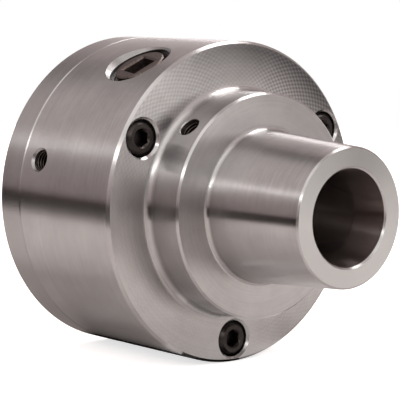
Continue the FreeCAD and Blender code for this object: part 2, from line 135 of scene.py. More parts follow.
# %% Light of the tent walls
# Stops of (degrees about X, light): 0 is +Y, 90 is up and 180 is -Y.
REAR_WALL = (
    (-180, 0.41), (-165, 0.70), (-12, 0.70), (-8, 1.10), (3, 1.10), (8, 0.50),
    (14, 0.42), (30, 0.48), (48, 0.60), (62, 0.71), (74, 0.64), (77, 0.02),
    (91, 0.02), (96, 0.50), (105, 0.62), (122, 0.71), (140, 0.75), (143, 0.80),
    (148, 1.35), (152, 0.64), (158, 0.50), (172, 0.44), (180, 0.41),
)
FRONT_WALL = (
    (-180, 0.40), (-165, 0.80), (-20, 0.28), (-8, 0.28), (-5, 4.00), (5, 4.00),
    (10, 2.00), (17, 1.00), (28, 0.80), (50, 1.10), (70, 1.30), (76, 1.30),
    (79, 1.10), (90, 1.10), (95, 1.90), (105, 2.00), (118, 1.85), (135, 1.70),
    (141, 1.90), (148, 4.20), (155, 1.60), (163, 1.00), (180, 0.60),
)
BRIGHTEST = 5.0
# Green against red: in the dark, gained with each unit of light, and at most. Then blue to green.
GREEN_IN_DARK, GREEN_GAIN, GREEN_MOST = 0.745, 0.145, 0.98
BLUE_TO_GREEN = 0.985


def wall_light(tree, angle, stops):
    """Light of a tent wall over the angle about X, as a share of the brightest."""
    share = add(tree, "ShaderNodeMapRange", {"Value": angle, "From Min": -pi, "From Max": pi})
    ramp = add(tree, "ShaderNodeValToRGB", {0: share.outputs[0]})
    for _ in range(len(stops) - 2):
        ramp.color_ramp.elements.new(0.5)
    for element, (degrees, light) in zip(ramp.color_ramp.elements, stops):
        red = light / BRIGHTEST
        green = red * min(GREEN_MOST, GREEN_IN_DARK + GREEN_GAIN * light)
        element.position = (degrees + 180) / 360
        element.color = (red, green, green * BLUE_TO_GREEN, 1)
    return ramp.outputs[0]


for side, stops in (("rear", REAR_WALL), ("front", FRONT_WALL)):
    print(side, "wall: light up to", max(light for _, light in stops))

# %% Paint the tent
# The blend runs from the first to the second value of the view direction's X, and so does the fade.
REAR_TO_FRONT = (-0.80, 0.65)
FADE_TO_POLE = (0.82, 0.97)
POLE_LIGHT = 0.5
world = bpy.data.worlds.new("light_tent")
bpy.context.scene.world = world
world.use_nodes = True
tent = world.node_tree
tent.nodes.clear()
direction = add(tent, "ShaderNodeTexCoord").outputs["Generated"]
parts = add(tent, "ShaderNodeSeparateXYZ", {0: direction}).outputs
around = add(tent, "ShaderNodeMath", {0: parts["Z"], 1: parts["Y"]}, operation="ARCTAN2").outputs[0]
forwards = add(tent, "ShaderNodeMapRange", {
    "Value": parts["X"], "From Min": REAR_TO_FRONT[0], "From Max": REAR_TO_FRONT[1],
}).outputs[0]
walls = add(tent, "ShaderNodeMix", {
    0: forwards, 6: wall_light(tent, around, REAR_WALL), 7: wall_light(tent, around, FRONT_WALL),
}, data_type="RGBA").outputs[2]
end_on = add(tent, "ShaderNodeMath", {0: parts["X"]}, operation="ABSOLUTE").outputs[0]
near_pole = add(tent, "ShaderNodeMapRange", {
    "Value": end_on, "From Min": FADE_TO_POLE[0], "From Max": FADE_TO_POLE[1],
}).outputs[0]
pole = (*[POLE_LIGHT / BRIGHTEST] * 3, 1)
even = add(tent, "ShaderNodeMix", {0: near_pole, 6: walls, 7: pole}, data_type="RGBA").outputs[2]
lit = add(tent, "ShaderNodeVectorMath", {0: even, 3: BRIGHTEST}, operation="SCALE").outputs[0]
from_camera = add(tent, "ShaderNodeLightPath").outputs["Is Camera Ray"]
seen = add(tent, "ShaderNodeMix", {
    0: from_camera, 6: lit, 7: (1, 1, 1, 1),
}, data_type="RGBA").outputs[2]
background = add(tent, "ShaderNodeBackground", {0: seen, 1: 1.0}).outputs[0]
add(tent, "ShaderNodeOutputWorld", {0: background})
bpy.context.scene.view_settings.view_transform = "Standard"
print("tent tree has", len(tent.nodes), "nodes")

# %% [markdown]
# ## The table, the cards and the papers
#
# The chuck lies on a white table. A plain disc is enough, and the chuck's own shadow on it is what
# darkens the underside of every turned surface. For the camera the disc is lifted towards white, as
# an overexposed studio table is.
#
# The dark line along the side of every turned surface is the reflection of a black card, which
# photographers stand beside a bright part to give its shape an edge. A second card stands in front
# of the nose, far away, where the upper part of the flat faces mirrors it.
#
# Sheets of paper lie on the table, each where one stretch of the underside mirrors it. Grey ones
# dim the light from below, a black strip draws a dark streak under the body, and a white one under
# the boss is bright enough to glow. Lamps could be set for this too, but they would reach every
# other surface as well. Cards and papers are hidden from the camera, throw no shadow and give no
# soft light.

# %% Make the table, cards and papers
TABLE_RADIUS = 1.3
BLACK_CARD = "#1C1212"
# Ends of each card in plan and its top, in metres.
CARDS = {
    "black_card": ((-1.1, -0.265), (0.42, -0.265), -0.006),
    "far_black_card": ((0.857, 0.616), (0.492, 0.906), 0.19),
}
# Reach of each paper along X and along Y in metres, its height over the table in mm, its colour
# and how much it glows.
PAPERS = {
    "grey_paper_behind": ((-0.25, 0.02), (-0.082, 0.04), 0.01, "#C9C4C2", 0.0),
    "grey_paper_in_front": ((0.091, 0.155), (-0.03, 0.085), 0.01, "#D6D1CF", 0.0),
    "grey_paper_beyond": ((-0.02, 0.11), (0.042, 0.125), 0.02, "#B5B0AE", 0.0),
    "grey_paper_below": ((0.0, 0.057), (-0.042, 0.043), 0.03, "#CFCAC8", 0.0),
    # Painted shadow: the black strip stands for the chuck's deep shadow on the table under the body.
    "black_strip": ((0.0, 0.0725), (-0.024, 0.004), 0.05, BLACK_CARD, 0.0),
    # Painted light: the white paper glows, as bounced light for the undersides of boss and nose.
    "white_paper": ((0.058, 0.091), (-0.032, 0.036), 0.04, "#F2EEEC", 0.35),
}
table_height = cad_box[0].z


def flat_piece(name, corners):
    """A single face through these corners."""
    mesh = bpy.data.meshes.new(name)
    mesh.from_pydata(corners, [], [range(len(corners))])
    piece = bpy.data.objects.new(name, mesh)
    bpy.context.scene.collection.objects.link(piece)
    return piece


table = flat_piece("table", [
    (TABLE_RADIUS * cos(radians(a)), TABLE_RADIUS * sin(radians(a)), table_height)
    for a in range(0, 360, 3)
])
cards = {}
for name, (start, end, top) in CARDS.items():
    foot = [(*start, table_height), (*end, table_height)]
    cards[name] = flat_piece(name, [*foot, (*end, top), (*start, top)])
papers = {}
for name, (ends, sides, lift, _, _) in PAPERS.items():
    height = table_height + lift * MM
    papers[name] = flat_piece(name, [
        (ends[i], sides[j], height) for i, j in ((0, 0), (1, 0), (1, 1), (0, 1))
    ])
for piece in (*cards.values(), *papers.values()):
    piece.visible_camera = piece.visible_diffuse = piece.visible_shadow = False
print("table at", round(table_height / MM, 2), "mm,", len(cards), "cards,", len(papers), "papers")

# %% [markdown]
# ## Table paint, card board and paper
#
# All three are matt: painted board, black card and uncoated paper scatter light evenly, so their
# shader has a high roughness and no mirror share. Only the light that they give off differs. The
# table has some for the camera alone, and the white paper has some for all.

# %% Paint the stage
STAGE_ROUGHNESS = 0.9
TABLE_LIFT = 0.7


def stage_paint(name, piece, colour, lift, glow):
    """Matt paint that gives off this much light: lift for the camera alone, glow for everything."""
    paint = bpy.data.materials.new(name)
    paint.use_nodes = True
    shader = paint.node_tree.nodes["Principled BSDF"]
    shader.inputs["Base Color"].default_value = linear(colour)
    shader.inputs["Roughness"].default_value = STAGE_ROUGHNESS
    shader.inputs["Specular IOR Level"].default_value = 0.0
    shader.inputs["Emission Color"].default_value = linear("#FFFFFF")
    from_camera = add(paint.node_tree, "ShaderNodeLightPath").outputs["Is Camera Ray"]
    light = add(paint.node_tree, "ShaderNodeMath", {
        0: from_camera, 1: lift, 2: glow,
    }, operation="MULTIPLY_ADD")
    paint.node_tree.links.new(light.outputs[0], shader.inputs["Emission Strength"])
    piece.data.materials.append(paint)


stage_paint("pale_table_paint", table, "#EBE7E5", TABLE_LIFT, 0.0)
for name, card in cards.items():
    stage_paint(name + "_board", card, BLACK_CARD, 0.0, 0.0)
for name, (_, _, _, colour, glow) in PAPERS.items():
    stage_paint(name + "_finish", papers[name], colour, 0.0, glow)
print("stage materials:", len(bpy.data.materials))

# %% [markdown]
# ## Three softboxes
#
# Small bright panels give the sparks on bevels and fillets, which tell the eye that an edge is
# crisp. One stands beside the camera, one hangs above and beyond the chuck, and one behind it.
# Area lights do this with no noise, and their size sets how long each spark is.

# %% Softboxes
# The way to each from the chuck's centre, its distance and width in metres, and its power in watts.
SOFTBOXES = {
    "softbox_beside_camera": ((0.64, -0.67, 0.371), 0.9, 0.10, 0.3),
    "softbox_overhead": ((0.218, 0.473, 0.852), 0.9, 0.30, 2.4),
    "softbox_behind": ((-0.27, 0.60, 0.75), 0.9, 0.20, 1.4),
}
chuck_centre = (cad_box[0] + cad_box[1]) / 2
for name, (towards, distance, width, watts) in SOFTBOXES.items():
    lamp = bpy.data.lights.new(name, "AREA")
    lamp.shape = "SQUARE"
    lamp.size = width
    lamp.energy = watts
    softbox = bpy.data.objects.new(name, lamp)
    bpy.context.scene.collection.objects.link(softbox)
    offset = Vector(towards).normalized() * distance
    softbox.location = chuck_centre + offset
    softbox.rotation_mode = "QUATERNION"
    softbox.rotation_quaternion = (-offset).to_track_quat("-Z", "Y")
    softbox.visible_camera = False
    print(name, "at", [round(c, 2) for c in softbox.location])

# %% [markdown]
# ## Where a point of the steel lies
#
# The marks on the chuck's steel follow its shape, because a lathe and a grinder made both. So every
# pattern below starts from the same facts: where the point is in millimetres, how far from the
# axis, which way is out, and whether the surface faces along X or outwards. An image could be
# painted and wrapped on instead, but it would stretch and show seams, and facts never do.

# %% Facts for the patterns
# How far a normal has to lean along X for its surface to count as flat: from here, and fully.
FLAT_FACING = (0.93, 0.99)


def facts_of_place(tree):
    """Sockets that say where the shaded point lies and which way it faces."""
    place = add(tree, "ShaderNodeTexCoord").outputs["Object"]
    point = add(tree, "ShaderNodeVectorMath", {0: place, 3: 1 / MM}, operation="SCALE").outputs[0]
    axes = add(tree, "ShaderNodeSeparateXYZ", {0: point}).outputs
    across = add(tree, "ShaderNodeVectorMath", {
        0: point, 1: (0, 1, 1),
    }, operation="MULTIPLY").outputs[0]
    radius = add(tree, "ShaderNodeVectorMath", {0: across}, operation="LENGTH").outputs["Value"]
    outwards = add(tree, "ShaderNodeVectorMath", {0: across}, operation="NORMALIZE").outputs[0]
    normal = add(tree, "ShaderNodeNewGeometry").outputs["Normal"]
    lean = add(tree, "ShaderNodeSeparateXYZ", {0: normal}).outputs["X"]
    end_on = add(tree, "ShaderNodeMath", {0: lean}, operation="ABSOLUTE").outputs[0]
    flat = add(tree, "ShaderNodeMapRange", {
        "Value": end_on, "From Min": FLAT_FACING[0], "From Max": FLAT_FACING[1],
    }).outputs[0]
    facing_out = add(
        tree, "ShaderNodeVectorMath", {0: normal, 1: outwards}, operation="DOT_PRODUCT",
    ).outputs["Value"]
    return {
        "point": point, "x": axes["X"], "y": axes["Y"], "z": axes["Z"], "radius": radius,
        "outwards": outwards, "flat": flat, "facing_out": facing_out,
    }


print("flat from a lean of", FLAT_FACING[0])

# %% [markdown]
# ## Rings, stains, dirt and painted shade
#
# Turning leaves fine rings, which grinding only thins. They tint the steel slightly: noise that
# changes fast along X and along the radius, and slowly around. Real feed marks are about 0.1 mm
# apart, which a picture this small can't show, so they are drawn 0.7 mm apart. A wave texture could
# draw them too, but its steps are too even for a real tool. A slower noise, some 20 mm across,
# stands for the stains of hands and storage.
#
# Walls that face the axis get painted shade, darker and browner, as little light reaches far in.
# Corners get painted shade where ambient occlusion finds them, which also stands for the oil and
# dust that stay there. The bevelled mouths of the holes in the sides were countersunk across the
# rings: they count as a surface that lies on the side of the body or the boss and yet doesn't face
# straight out, and their painted shade dims their highlight.

# %% Rings of turning
FEED_MARK = 0.7
# How fast the rings change around, against one change per feed mark along X and the radius.
RING_DRIFT = 1.2


def turning_rings(tree, facts):
    """Noise drawn out into rings about X."""
    along = add(tree, "ShaderNodeMath", {
        0: facts["x"], 1: 1 / FEED_MARK,
    }, operation="MULTIPLY").outputs[0]
    outward = add(tree, "ShaderNodeMath", {
        0: facts["radius"], 1: 1 / FEED_MARK,
    }, operation="MULTIPLY").outputs[0]
    forward = add(tree, "ShaderNodeCombineXYZ", {0: along}).outputs[0]
    place = add(tree, "ShaderNodeVectorMath", {
        0: facts["outwards"], 1: (0, RING_DRIFT, RING_DRIFT), 2: forward,
    }, operation="MULTIPLY_ADD").outputs[0]
    return add(tree, "ShaderNodeTexNoise", {
        "Vector": place, "W": outward, "Scale": 1.0, "Detail": 3.0, "Roughness": 0.6,
    }, noise_dimensions="4D").outputs[0]


print("feed marks", FEED_MARK, "mm")

# %% Bores and the mouths of holes
# A wall that faces the axis has a share of -1 in facing out, and the round side has 1.
BORED_FACING = (-0.95, -0.75)
MOUTH_FACING = (0.93, 0.985)
# Middle and half length of the body's and the boss's side along X, without their bevels, in mm.
BODY_SIDE = (39.0, 25.0)
BOSS_SIDE = (76.5, 4.0)


def bore_mask(tree, facts):
    """1 on walls that face the axis, 0 elsewhere."""
    return add(tree, "ShaderNodeMapRange", {
        "Value": facts["facing_out"], "From Min": BORED_FACING[0], "From Max": BORED_FACING[1],
        "To Min": 1.0, "To Max": 0.0,
    }).outputs[0]


def mouth_mask(tree, facts):
    """1 on the mouths of the holes in the sides, 0 elsewhere."""
    off_round = add(tree, "ShaderNodeMapRange", {
        "Value": facts["facing_out"], "From Min": MOUTH_FACING[0], "From Max": MOUTH_FACING[1],
        "To Min": 1.0, "To Max": 0.0,
    }).outputs[0]
    on_body, on_boss = (
        add(tree, "ShaderNodeMath", {
            0: facts["x"], 1: middle, 2: reach,
        }, operation="COMPARE").outputs[0]
        for middle, reach in (BODY_SIDE, BOSS_SIDE)
    )
    on_side = add(tree, "ShaderNodeMath", {0: on_body, 1: on_boss}, operation="ADD").outputs[0]
    return add(tree, "ShaderNodeMath", {0: on_side, 1: off_round}, operation="MULTIPLY").outputs[0]


print("mouths of holes are looked for up to", BOSS_SIDE[0] + BOSS_SIDE[1], "mm")

# %% Stains, painted shade and grime
# Size of a stain in mm.
STAIN_SIZE = 1 / 0.045
# Rings and stains are added up, with an offset that puts their mean in the middle of the range.
RING_WEIGHT, STAIN_WEIGHT, TONE_OFFSET = 0.36, 0.75, 0.045
TONE_RANGE = (0.35, 0.85)
# Openness at which a corner has full painted shade and grime, at which it has none, and their tone.
SHADE_AND_GRIME_FROM, SHADE_AND_GRIME_TO, SHADE_AND_GRIME_TONE = 0.15, 0.60, 0.18
# How far from a corner the painted shade and grime reach, in mm.
SHADE_AND_GRIME_REACH = 4.0
# Share of colour that painted shade takes from the mouths of the holes, to dim their highlight.
MOUTH_PAINTED_SHADE = 0.35
# Painted shade for walls that face the axis: darker, browner steel.
BORE_PAINTED_SHADE = "#958985"


def shade_and_grime_share(tree):
    """1 on open surfaces, down to the tone of painted shade and grime in corners."""
    open_share = add(tree, "ShaderNodeAmbientOcclusion", {"Distance": SHADE_AND_GRIME_REACH * MM}, samples=8)
    return add(tree, "ShaderNodeMapRange", {
        "Value": open_share.outputs["AO"], "From Min": SHADE_AND_GRIME_FROM, "From Max": SHADE_AND_GRIME_TO,
        "To Min": SHADE_AND_GRIME_TONE,
    }).outputs[0]


def used_colour(tree, facts, tone, rings, bored, mouth):
    """Steel between its dark and its light tone, with painted shade in bores, at hole mouths and in
    corners, where grime stays too.
    """
    stain = add(tree, "ShaderNodeTexNoise", {
        "Vector": facts["point"], "Scale": 1 / STAIN_SIZE, "Detail": 6.0, "Roughness": 0.68,
    }).outputs[0]
    ringed = add(tree, "ShaderNodeMath", {
        0: rings, 1: RING_WEIGHT, 2: TONE_OFFSET,
    }, operation="MULTIPLY_ADD").outputs[0]
    stained = add(tree, "ShaderNodeMath", {
        0: stain, 1: STAIN_WEIGHT, 2: ringed,
    }, operation="MULTIPLY_ADD").outputs[0]
    shade = add(tree, "ShaderNodeMapRange", {
        "Value": stained, "From Min": TONE_RANGE[0], "From Max": TONE_RANGE[1],
    }).outputs[0]
    dark, light = (linear(hex_code) for hex_code in tone)
    colour = add(tree, "ShaderNodeMix", {0: shade, 6: dark, 7: light}, data_type="RGBA").outputs[2]
    # Painted shade on walls that face the axis.
    colour = add(tree, "ShaderNodeMix", {
        0: bored, 6: colour, 7: linear(BORE_PAINTED_SHADE),
    }, data_type="RGBA").outputs[2]
    # Painted shade at the mouths of the holes.
    mouth_shade_share = add(tree, "ShaderNodeMath", {
        0: mouth, 1: -MOUTH_PAINTED_SHADE, 2: 1.0,
    }, operation="MULTIPLY_ADD").outputs[0]
    # Painted shade in corners, found by ambient occlusion, which also stands for the grime there.
    after_shade_and_grime = add(tree, "ShaderNodeMath", {
        0: shade_and_grime_share(tree), 1: mouth_shade_share,
    }, operation="MULTIPLY").outputs[0]
    return add(tree, "ShaderNodeVectorMath", {0: colour, 3: after_shade_and_grime}, operation="SCALE").outputs[0]


print("stains", round(STAIN_SIZE), "mm, grime within", SHADE_AND_GRIME_REACH, "mm of a corner")

# %% [markdown]
# ## The ground flange face
#
# The flange face was ground with a cup wheel, whose crossing arcs leave a lattice of tiny diamonds.
# Two sine waves over radius and angle give it, with a whole number of waves around so that no seam
# shows. The marks are drawn 1.8 mm apart, which is about as fine as a picture this small can hold.
# They are both a tone, for the dirt in the grooves, and a very shallow bump. Grooves could be cut in
# the mesh too, but the real ones are only some thousandths of a millimetre deep.
#
# Grinding never wears evenly. The lattice is strong on both shoulders of the face, and more so on
# the +Y side, while it fades at the top and below. The upper part on the +Y side gets painted
# shade, more towards the edge.

# %% Grinding lattice
FLANGE_X = 68.85
# The flange's marks fade between these distances from its face, in mm.
FLANGE_SKIN = (0.02, 0.12)
BOSS_RADIUS = 43.4
FACE_MIDDLE = BOSS_RADIUS + 10
GRIND_MARK = 1.8


def flange_mask(tree, facts):
    """1 on the flange face, 0 elsewhere."""
    ahead = add(tree, "ShaderNodeMath", {0: facts["x"], 1: FLANGE_X}, operation="SUBTRACT").outputs[0]
    off_face = add(tree, "ShaderNodeMath", {0: ahead}, operation="ABSOLUTE").outputs[0]
    return add(tree, "ShaderNodeMapRange", {
        "Value": off_face, "From Min": FLANGE_SKIN[0], "From Max": FLANGE_SKIN[1],
        "To Min": 1.0, "To Max": 0.0,
    }).outputs[0]


def lattice_waves(tree, facts):
    """Two sine waves that cross at each mark, between -2 and 2."""
    waves = round(2 * pi / GRIND_MARK / 2 ** 0.5 * FACE_MIDDLE)
    clock = add(tree, "ShaderNodeMath", {
        0: facts["z"], 1: facts["y"],
    }, operation="ARCTAN2").outputs[0]
    turned = add(tree, "ShaderNodeMath", {0: clock, 1: waves}, operation="MULTIPLY").outputs[0]
    out = add(tree, "ShaderNodeMath", {
        0: facts["radius"], 1: 2 * pi / GRIND_MARK,
    }, operation="MULTIPLY").outputs[0]
    crossing = []
    for way in ("ADD", "SUBTRACT"):
        phase = add(tree, "ShaderNodeMath", {0: out, 1: turned}, operation=way).outputs[0]
        crossing.append(add(tree, "ShaderNodeMath", {0: phase}, operation="SINE").outputs[0])
    return add(tree, "ShaderNodeMath", dict(enumerate(crossing)), operation="ADD").outputs[0]


print("grinding lattice", GRIND_MARK, "mm")

# %% Wear of the lattice
GRIND_INK = 0.13
# Shares of the way up and of the way sideways between which the lattice comes in, and what is left
# of it before.
UPPER_FADE = (0.1, 0.6, 0.16)
TOP_FADE = (0.1, 0.4, 0.3)
# The dirt in the grooves grows from the -Y side to the +Y side, between these shares and weights.
DIRT_FADE = (-0.6, 0.6)
DIRT_WEIGHTS = (0.5, 1.7)


def grinding_marks(tree, facts, on_flange):
    """The lattice as the wear has left it, and how dark it is drawn."""
    ways = add(tree, "ShaderNodeSeparateXYZ", {0: facts["outwards"]}).outputs
    sideways = add(tree, "ShaderNodeMath", {0: ways["Y"]}, operation="ABSOLUTE").outputs[0]
    upper = add(tree, "ShaderNodeMapRange", {
        "Value": ways["Z"], "From Min": UPPER_FADE[0], "From Max": UPPER_FADE[1],
        "To Min": UPPER_FADE[2],
    }).outputs[0]
    off_top = add(tree, "ShaderNodeMapRange", {
        "Value": sideways, "From Min": TOP_FADE[0], "From Max": TOP_FADE[1], "To Min": TOP_FADE[2],
    }).outputs[0]
    kept = add(tree, "ShaderNodeMath", {0: upper, 1: off_top}, operation="MULTIPLY").outputs[0]
    kept = add(tree, "ShaderNodeMath", {0: kept, 1: on_flange}, operation="MULTIPLY").outputs[0]
    marks = add(tree, "ShaderNodeMath", {
        0: lattice_waves(tree, facts), 1: kept,
    }, operation="MULTIPLY").outputs[0]
    dirtier = add(tree, "ShaderNodeMapRange", {
        "Value": ways["Y"], "From Min": DIRT_FADE[0], "From Max": DIRT_FADE[1],
        "To Min": DIRT_WEIGHTS[0], "To Max": DIRT_WEIGHTS[1],
    }).outputs[0]
    inked = add(tree, "ShaderNodeMath", {0: marks, 1: dirtier}, operation="MULTIPLY").outputs[0]
    tone = add(tree, "ShaderNodeMath", {
        0: inked, 1: GRIND_INK, 2: 1.0,
    }, operation="MULTIPLY_ADD").outputs[0]
    return marks, tone


print("dirt in the grooves:", DIRT_WEIGHTS[0], "on the -Y side,", DIRT_WEIGHTS[1], "on the +Y side")

# %% Painted shade on the flange
FLANGE_SHADE_CLOCK = radians(64)
# Nearness to that angle at which the painted shade starts and is full, as a cosine.
FLANGE_SHADE_SPREAD = (0.4, 0.95)
FLANGE_SHADE_BAND = (BOSS_RADIUS + 3, BOSS_RADIUS + 16)
FLANGE_SHADE_TONE = 0.66


def flange_painted_shade(tree, facts, on_flange):
    """1 on most of the face, less where shade is painted on its upper +Y part."""
    shaded_way = (0, cos(FLANGE_SHADE_CLOCK), sin(FLANGE_SHADE_CLOCK))
    nearness = add(
        tree, "ShaderNodeVectorMath", {0: facts["outwards"], 1: shaded_way}, operation="DOT_PRODUCT",
    ).outputs["Value"]
    shaded = add(tree, "ShaderNodeMapRange", {
        "Value": nearness, "From Min": FLANGE_SHADE_SPREAD[0], "From Max": FLANGE_SHADE_SPREAD[1],
    }).outputs[0]
    towards_edge = add(tree, "ShaderNodeMapRange", {
        "Value": facts["radius"], "From Min": FLANGE_SHADE_BAND[0], "From Max": FLANGE_SHADE_BAND[1],
        "To Max": FLANGE_SHADE_TONE,
    }).outputs[0]
    for limit in (on_flange, towards_edge):
        shaded = add(tree, "ShaderNodeMath", {0: shaded, 1: limit}, operation="MULTIPLY").outputs[0]
    return add(tree, "ShaderNodeMath", {0: 1.0, 1: shaded}, operation="SUBTRACT").outputs[0]


print("swarf from radius", FLANGE_SHADE_BAND[0], "to", FLANGE_SHADE_BAND[1], "mm")

# %% [markdown]
# ## The nose face
#
# Collets and cleaning rags rub the narrow end face of the nose, so it keeps no stain and no ring
# that would show. It is a little paler than the rest, and darker towards the top. It could have a
# material of its own, but a CAD node keeps one slot for all its faces, so the tone is laid over the
# steel by its place along X.

# %% Nose face
NOSE_X = 131.5
# How far behind the nose face its tone starts and is full, in mm.
NOSE_SKIN = (0.15, 0.02)
NOSE_FACE = "#B7B6B4"
NOSE_TOP_DARK_CLOCK = radians(105)
# Nearness to that angle at which the darker part starts and is full, as a cosine.
NOSE_TOP_DARK_SPREAD = (0.2, 0.9)
# Tone of the rubbed face and of its darker part at the top.
RUBBED_TONE, NOSE_TOP_DARK_TONE = 0.98, 0.72


def rubbed_nose(tree, facts, colour):
    """The colour with the nose face laid over it."""
    at_nose = add(tree, "ShaderNodeMapRange", {
        "Value": facts["x"], "From Min": NOSE_X - NOSE_SKIN[0], "From Max": NOSE_X - NOSE_SKIN[1],
    }).outputs[0]
    darker_way = (0, cos(NOSE_TOP_DARK_CLOCK), sin(NOSE_TOP_DARK_CLOCK))
    nearness = add(
        tree, "ShaderNodeVectorMath", {0: facts["outwards"], 1: darker_way}, operation="DOT_PRODUCT",
    ).outputs["Value"]
    rubbed = add(tree, "ShaderNodeMapRange", {
        "Value": nearness, "From Min": NOSE_TOP_DARK_SPREAD[0], "From Max": NOSE_TOP_DARK_SPREAD[1],
        "To Min": RUBBED_TONE, "To Max": NOSE_TOP_DARK_TONE,
    }).outputs[0]
    tone = add(tree, "ShaderNodeVectorMath", {
        0: linear(NOSE_FACE)[:3], 3: rubbed,
    }, operation="SCALE").outputs[0]
    return add(tree, "ShaderNodeMix", {0: at_nose, 6: colour, 7: tone}, data_type="RGBA").outputs[2]


print("nose face", NOSE_FACE, "times", RUBBED_TONE, "down to", NOSE_TOP_DARK_TONE, "at the top")

# %% [markdown]
# ## Turned and ground steel
#
# The body and the backplate are alloy steel, turned on a lathe, and the body was then ground. The
# rings make the surface mirror sharply along them and smear across them. The shader's anisotropy
# does that, with the direction of the rings taken from the place: the cross product of the X axis
# and the way out.
#
# Flat faces are smeared less, because grinding crossed their rings, and the mouths of the holes
# not at all. A bump of rings could do it too, but rings finer than a pixel only turn to noise, and
# so does a roughness that varies much, so here it hardly does.

# %% Put the steel together
# Nearly all of the noise lies between these.
NOISE_SPAN = (0.3, 0.7)
# Roughness at the two ends of that noise, and what flat faces, mouths and bores add to it.
GLOSS = (0.258, 0.262)
FLAT_ROUGHER, MOUTH_ROUGHER, BORE_ROUGHER = 0.06, 0.06, -0.03
# Anisotropy on the round side and on flat faces.
SMEAR_ROUND, SMEAR_FLAT = 1.0, 0.35
# Depth of the lattice's bump in mm.
GRIND_DEPTH = 0.004


def turned_steel(name, tone, faces):
    """Bare steel with rings about X; faces adds the flange's lattice and the rubbed nose face."""
    steel = bpy.data.materials.new(name)
    steel.use_nodes = True
    tree = steel.node_tree
    shader = tree.nodes["Principled BSDF"]
    shader.inputs["Metallic"].default_value = 1.0
    shader.inputs["Anisotropic Rotation"].default_value = 0.25
    facts = facts_of_place(tree)
    bored = bore_mask(tree, facts)
    mouth = mouth_mask(tree, facts)
    rings = turning_rings(tree, facts)

    ring = add(
        tree, "ShaderNodeVectorMath", {0: (1, 0, 0), 1: facts["outwards"]}, operation="CROSS_PRODUCT",
    ).outputs[0]
    in_rings = add(tree, "ShaderNodeMath", {0: 1.0, 1: mouth}, operation="SUBTRACT").outputs[0]
    smear = add(tree, "ShaderNodeMapRange", {
        "Value": facts["flat"], "To Min": SMEAR_ROUND, "To Max": SMEAR_FLAT,
    }).outputs[0]
    smear = add(tree, "ShaderNodeMath", {0: smear, 1: in_rings}, operation="MULTIPLY").outputs[0]

    gloss = add(tree, "ShaderNodeMapRange", {
        "Value": rings, "From Min": NOISE_SPAN[0], "From Max": NOISE_SPAN[1],
        "To Min": GLOSS[0], "To Max": GLOSS[1],
    }).outputs[0]
    for where, rougher in (
        (facts["flat"], FLAT_ROUGHER), (mouth, MOUTH_ROUGHER), (bored, BORE_ROUGHER),
    ):
        gloss = add(tree, "ShaderNodeMath", {
            0: where, 1: rougher, 2: gloss,
        }, operation="MULTIPLY_ADD").outputs[0]

    colour = used_colour(tree, facts, tone, rings, bored, mouth)
    if faces:
        on_flange = flange_mask(tree, facts)
        marks, ink = grinding_marks(tree, facts, on_flange)
        # Painted shade on the upper +Y part of the flange, times the lattice's tone.
        shade_and_ink = add(tree, "ShaderNodeMath", {
            0: flange_painted_shade(tree, facts, on_flange), 1: ink,
        }, operation="MULTIPLY").outputs[0]
        colour = add(tree, "ShaderNodeVectorMath", {
            0: colour, 3: shade_and_ink,
        }, operation="SCALE").outputs[0]
        colour = rubbed_nose(tree, facts, colour)
        relief = add(tree, "ShaderNodeBump", {
            "Strength": 1.0, "Distance": GRIND_DEPTH * MM, "Height": marks,
        }).outputs[0]
        tree.links.new(relief, shader.inputs["Normal"])
    for socket, value in (
        ("Tangent", ring), ("Anisotropic", smear), ("Base Color", colour), ("Roughness", gloss),
    ):
        tree.links.new(value, shader.inputs[socket])
    return steel


# Ground after turning: pale grey, streaked along the rings, stained by hands.
body_steel = turned_steel("turned_and_ground_alloy_steel", ("#9C9998", "#B7B4B3"), faces=True)
# Turned only: a shade darker and more even.
plate_steel = turned_steel("turned_alloy_steel_backplate", ("#9A9796", "#A9A6A5"), faces=False)
print("body steel has", len(body_steel.node_tree.nodes), "nodes")

# %% [markdown]
# ## Black oxide, gear steel, threads painted dark, bearing steel and brass
#
# The screws are alloy steel with black oxide: a hot salt bath turns the skin to magnetite, which is
# almost black and satin, because the bath follows the grain of the rolled and forged metal. The
# pinion and the draw nut are hardened gear steel, brown-grey from the furnace and a film of oil.
# The threads of the tapped holes in the sides are painted dark, as painted shade deep in the holes.
# The balls and washers are polished bearing steel, the cage is pressed brass. Each is one metal with
# a fine grain, so one function builds them from their tones, roughness and grain size.

# %% Small steel parts and brass
# How far the roughness varies to either side.
GLOSS_SPREAD = 0.03


